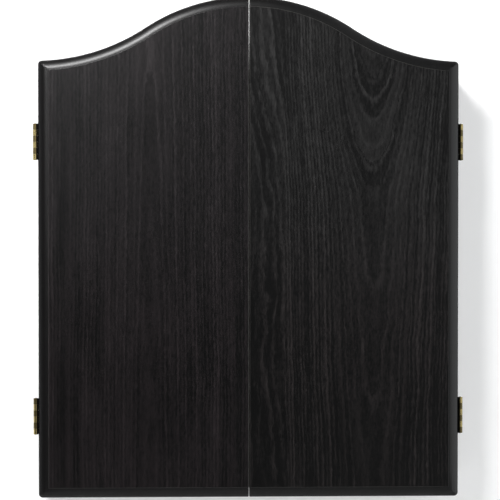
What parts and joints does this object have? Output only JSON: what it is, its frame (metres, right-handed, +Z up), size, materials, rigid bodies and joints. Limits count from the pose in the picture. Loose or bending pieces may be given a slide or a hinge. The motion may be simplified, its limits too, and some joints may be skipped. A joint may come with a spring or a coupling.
{
  "type": "dart board cabinet",
  "caption": "Wall-hung dart board cabinet: a shallow square case with two hinged doors that meet in the middle and rise to an arched top, black wood grain with brass butt hinges.",
  "frame": {"origin": "on the wall plane at the middle of the back, behind the bull's-eye; it is also the middle of the square case", "axes": "+X to the viewer's right, +Y into the wall (the doors face -Y), +Z up"},
  "size_m": [0.534, 0.087, 0.6188],
  "materials": {
    "black_ash": "satin black foil embossed with an open vertical ash grain",
    "carcass_board": "satin black laminate on chipboard",
    "back_ply": "bare thin hardboard",
    "felt": "black felt",
    "chalkboard": "matte chalkboard paint with plain white rules and numbers",
    "hinge_brass": "lacquered pressed brass, slightly dulled",
    "screw_brass": "brassed steel",
    "zinc_steel": "bright zinc plate",
    "magnet": "dark ferrite",
    "catch_plastic": "moulded black plastic",
    "rubber": "soft black rubber"
  },
  "bodies": {
    "case": {"back_lining": "felt", "back_panel": "back_ply", "board_bracket": "zinc_steel", "bottom_panel": "carcass_board", "bracket_screw_1": "zinc_steel", "bracket_screw_2": "zinc_steel", "bracket_screw_3": "zinc_steel", "bracket_screw_4": "zinc_steel", "left_catch_magnet": "magnet", "left_catch_screw": "zinc_steel", "left_lower_case_screw_bottom": "screw_brass", "left_lower_case_screw_top": "screw_brass", "left_lower_hinge_case_leaf": "hinge_brass", "left_lower_hinge_pin": "hinge_brass", "left_side_panel": "carcass_board", "left_upper_case_screw_bottom": "screw_brass", "left_upper_case_screw_top": "screw_brass", "left_upper_hinge_case_leaf": "hinge_brass", "left_upper_hinge_pin": "hinge_brass", "magnetic_catch": "catch_plastic", "right_catch_magnet": "magnet", "right_catch_screw": "zinc_steel", "right_lower_case_screw_bottom": "screw_brass", "right_lower_case_screw_top": "screw_brass", "right_lower_hinge_case_leaf": "hinge_brass", "right_lower_hinge_pin": "hinge_brass", "right_side_panel": "carcass_board", "right_upper_case_screw_bottom": "screw_brass", "right_upper_case_screw_top": "screw_brass", "right_upper_hinge_case_leaf": "hinge_brass", "right_upper_hinge_pin": "hinge_brass", "top_panel": "carcass_board"},
    "left_door": {"left_bumper": "rubber", "left_dart_rack": "carcass_board", "left_door": "black_ash", "left_lower_door_screw_bottom": "screw_brass", "left_lower_door_screw_top": "screw_brass", "left_lower_hinge_door_leaf": "hinge_brass", "left_scoreboard": "chalkboard", "left_strike_plate": "zinc_steel", "left_strike_screw": "zinc_steel", "left_upper_door_screw_bottom": "screw_brass", "left_upper_door_screw_top": "screw_brass", "left_upper_hinge_door_leaf": "hinge_brass"},
    "right_door": {"right_bumper": "rubber", "right_dart_rack": "carcass_board", "right_door": "black_ash", "right_lower_door_screw_bottom": "screw_brass", "right_lower_door_screw_top": "screw_brass", "right_lower_hinge_door_leaf": "hinge_brass", "right_scoreboard": "chalkboard", "right_strike_plate": "zinc_steel", "right_strike_screw": "zinc_steel", "right_upper_door_screw_bottom": "screw_brass", "right_upper_door_screw_top": "screw_brass", "right_upper_hinge_door_leaf": "hinge_brass"}
  },
  "joints": [
    {"name": "left_door_hinge", "type": "hinge", "parent": "case", "child": "left_door", "pos_m": [-0.2639, -0.0695, 0], "axis": [0, 0, -1], "range_deg": [0, 180]},
    {"name": "right_door_hinge", "type": "hinge", "parent": "case", "child": "right_door", "pos_m": [0.2639, -0.0695, 0], "axis": [0, 0, 1], "range_deg": [0, 180]}
  ]
}
